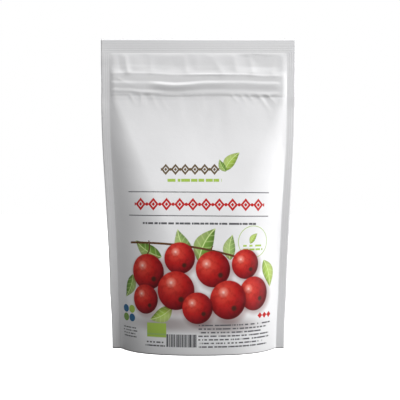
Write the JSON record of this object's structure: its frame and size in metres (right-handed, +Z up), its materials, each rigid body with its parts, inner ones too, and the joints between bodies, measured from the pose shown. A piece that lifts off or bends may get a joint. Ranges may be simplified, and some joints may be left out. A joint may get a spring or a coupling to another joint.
{
  "type": "stand-up pouch",
  "caption": "Sealed stand-up pouch of white printed film with a press-to-close zip and an opened bottom gusset, filled with dried jujubes.",
  "frame": {"origin": "on the table, under the middle of the standing pouch", "axes": "+Z up along the pouch's height, +X along its width, and the printed front faces -Y"},
  "size_m": [0.13, 0.0508, 0.2064],
  "materials": {
    "film": "white satin laminate, printed on the front",
    "zip": "milky satin polythene",
    "fruit": "wrinkled dried skin with a dull shine"
  },
  "bodies": {
    "root": {"front_panel": "film", "back_panel": "film", "bottom_gusset": "film", "zip_channel_strip": "zip", "zip_rib_strip": "zip", "jujube_01": "fruit", "jujube_02": "fruit", "jujube_03": "fruit", "jujube_04": "fruit", "jujube_05": "fruit", "jujube_06": "fruit", "jujube_07": "fruit", "jujube_08": "fruit", "jujube_09": "fruit", "jujube_10": "fruit", "jujube_11": "fruit", "jujube_12": "fruit", "jujube_13": "fruit", "jujube_14": "fruit", "jujube_15": "fruit", "jujube_16": "fruit", "jujube_17": "fruit", "jujube_18": "fruit", "jujube_19": "fruit", "jujube_20": "fruit", "jujube_21": "fruit", "jujube_22": "fruit", "jujube_23": "fruit", "jujube_24": "fruit"}
  },
  "joints": []
}
